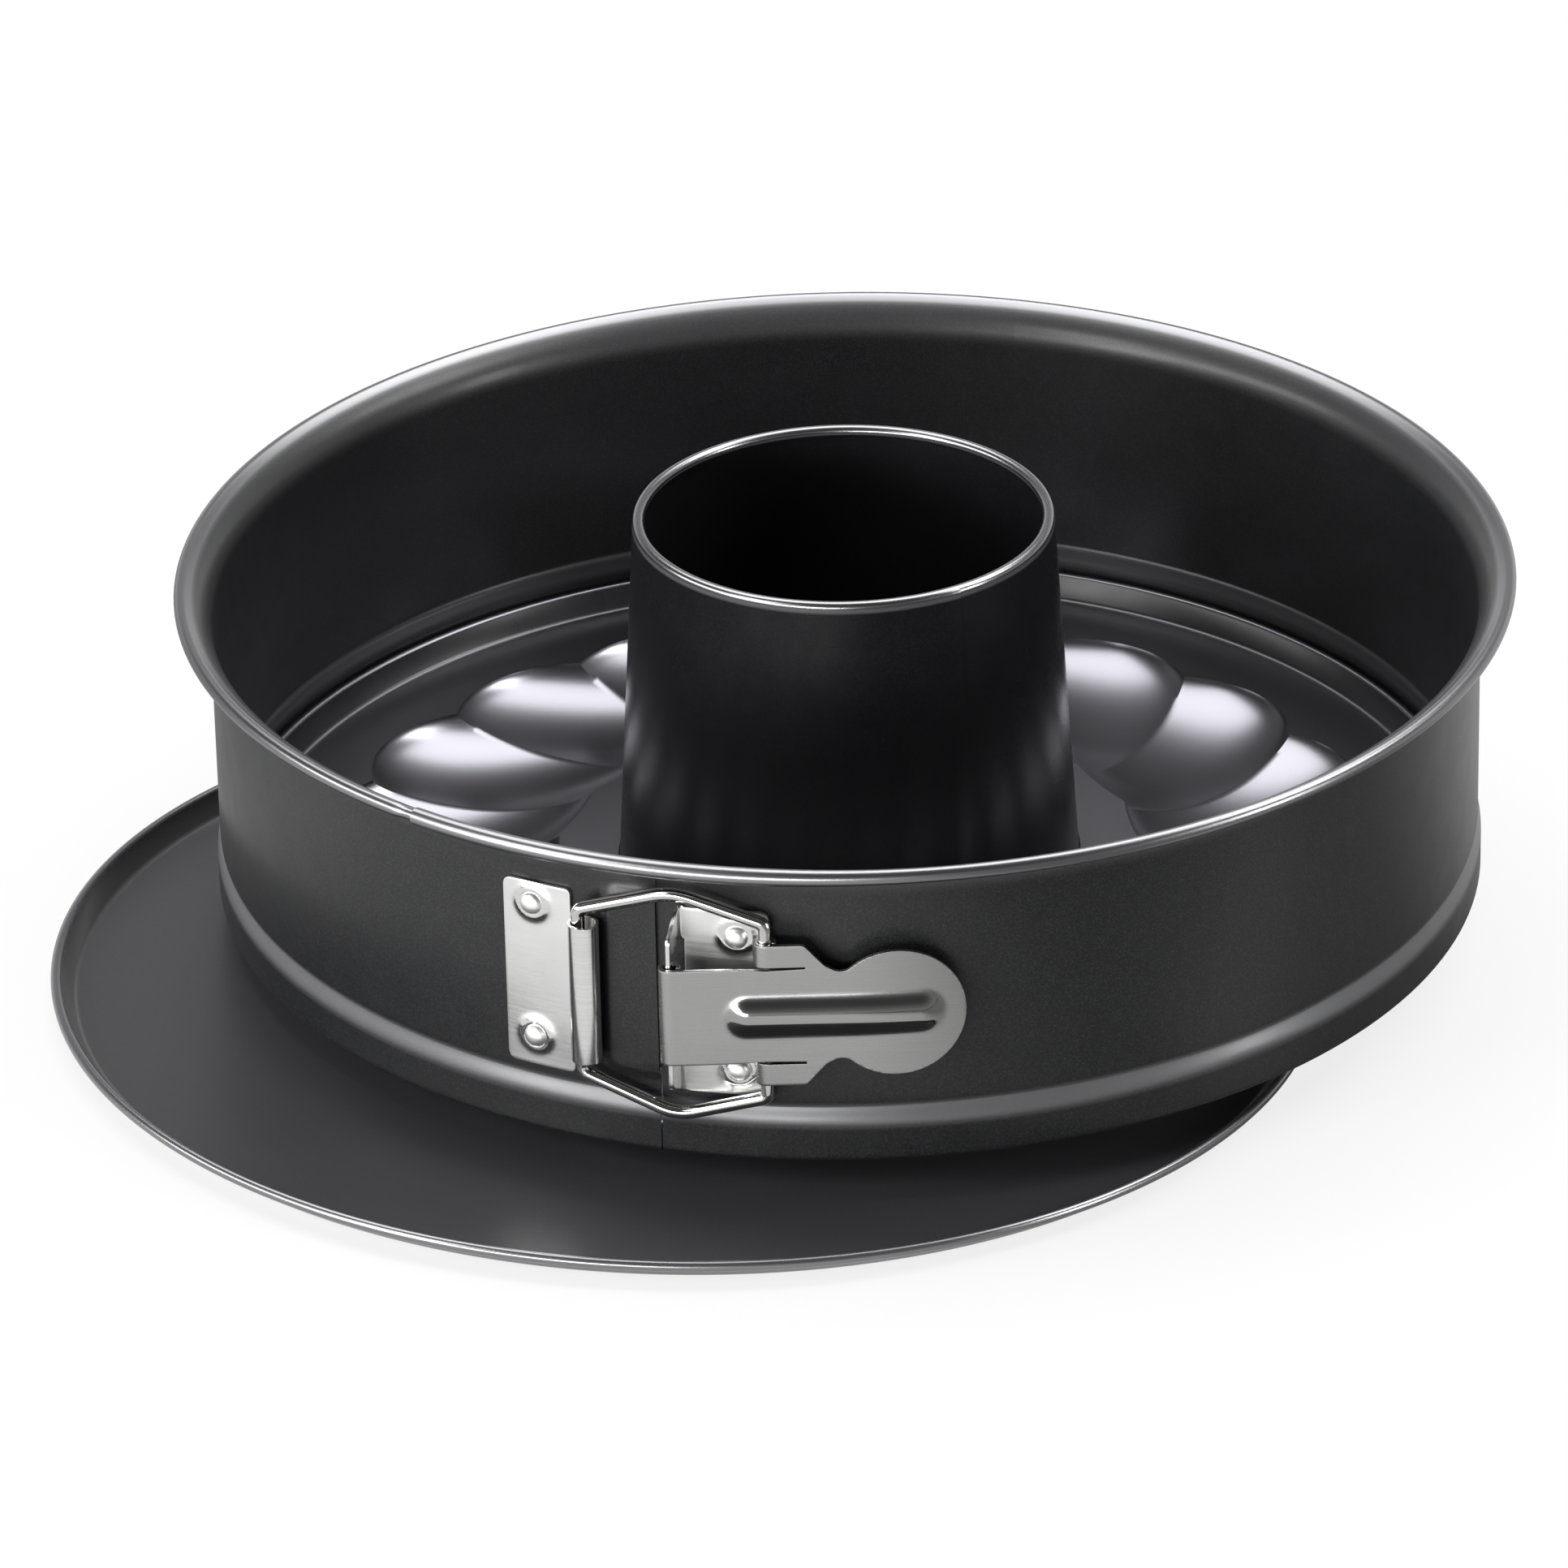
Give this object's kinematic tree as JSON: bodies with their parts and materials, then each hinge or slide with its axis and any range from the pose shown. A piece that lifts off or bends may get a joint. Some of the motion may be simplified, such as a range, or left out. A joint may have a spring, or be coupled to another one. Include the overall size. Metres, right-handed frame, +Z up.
{
  "type": "springform tube pan",
  "caption": "Springform cake pan with a fluted tube base and a toggle clasp on its split band, resting on its spare flat base.",
  "frame": {"origin": "middle of the spare flat base's underside, on the table", "axes": "+Z up from the table, +Y away from the clasp's side, +X to the right seen from the clasp's side"},
  "size_m": [0.2998, 0.3049, 0.0928],
  "materials": {
    "band_coating": "satin non-stick",
    "pan_coating": "glossy non-stick",
    "spare_base_coating": "satin non-stick",
    "nickel": "bright nickel plating"
  },
  "bodies": {
    "flat_base": {"flat_base": "spare_base_coating"},
    "tube_base": {"tube_base_plate": "pan_coating", "tube": "pan_coating"},
    "band_left": {"band_left": "band_coating", "strike_plate": "nickel", "strike_rivet_upper": "nickel", "strike_rivet_lower": "nickel"},
    "band_right": {"band_right": "band_coating", "lever_bracket": "nickel", "bracket_rivet_upper": "nickel", "bracket_rivet_lower": "nickel"},
    "lever": {"lever": "nickel"},
    "bail": {"bail": "nickel"}
  },
  "joints": [
    {"name": "pan_lift", "type": "slide", "parent": "flat_base", "child": "tube_base", "axis": [0, 0, 1], "range_m": [0, 0.12]},
    {"name": "band_left_spring", "type": "hinge", "parent": "tube_base", "child": "band_left", "pos_m": [0.07223, 0.17071, 0.01655], "axis": [0.0321, 0.0253, -0.9992], "range_deg": [0, 0.142]},
    {"name": "band_right_spring", "type": "hinge", "parent": "tube_base", "child": "band_right", "pos_m": [0.07223, 0.17071, 0.01655], "axis": [-0.0321, -0.0253, 0.9992], "range_deg": [0, 0.142]},
    {"name": "lever_swing", "type": "hinge", "parent": "band_right", "child": "lever", "pos_m": [-0.00187, -0.09689, 0.04252], "axis": [0.0321, 0.0253, -0.9992], "range_deg": [0, 70]},
    {"name": "bail_swing", "type": "hinge", "parent": "lever", "child": "bail", "pos_m": [0.01681, -0.09627, 0.04314], "axis": [-0.0321, -0.0253, 0.9992], "range_deg": [0, 36.2]}
  ],
  "couplings": [
    {"joint": "band_left_spring", "follows": "lever_swing", "ratio": 0.00189},
    {"joint": "band_right_spring", "follows": "lever_swing", "ratio": 0.00189},
    {"joint": "bail_swing", "follows": "lever_swing", "ratio": 0.516}
  ]
}
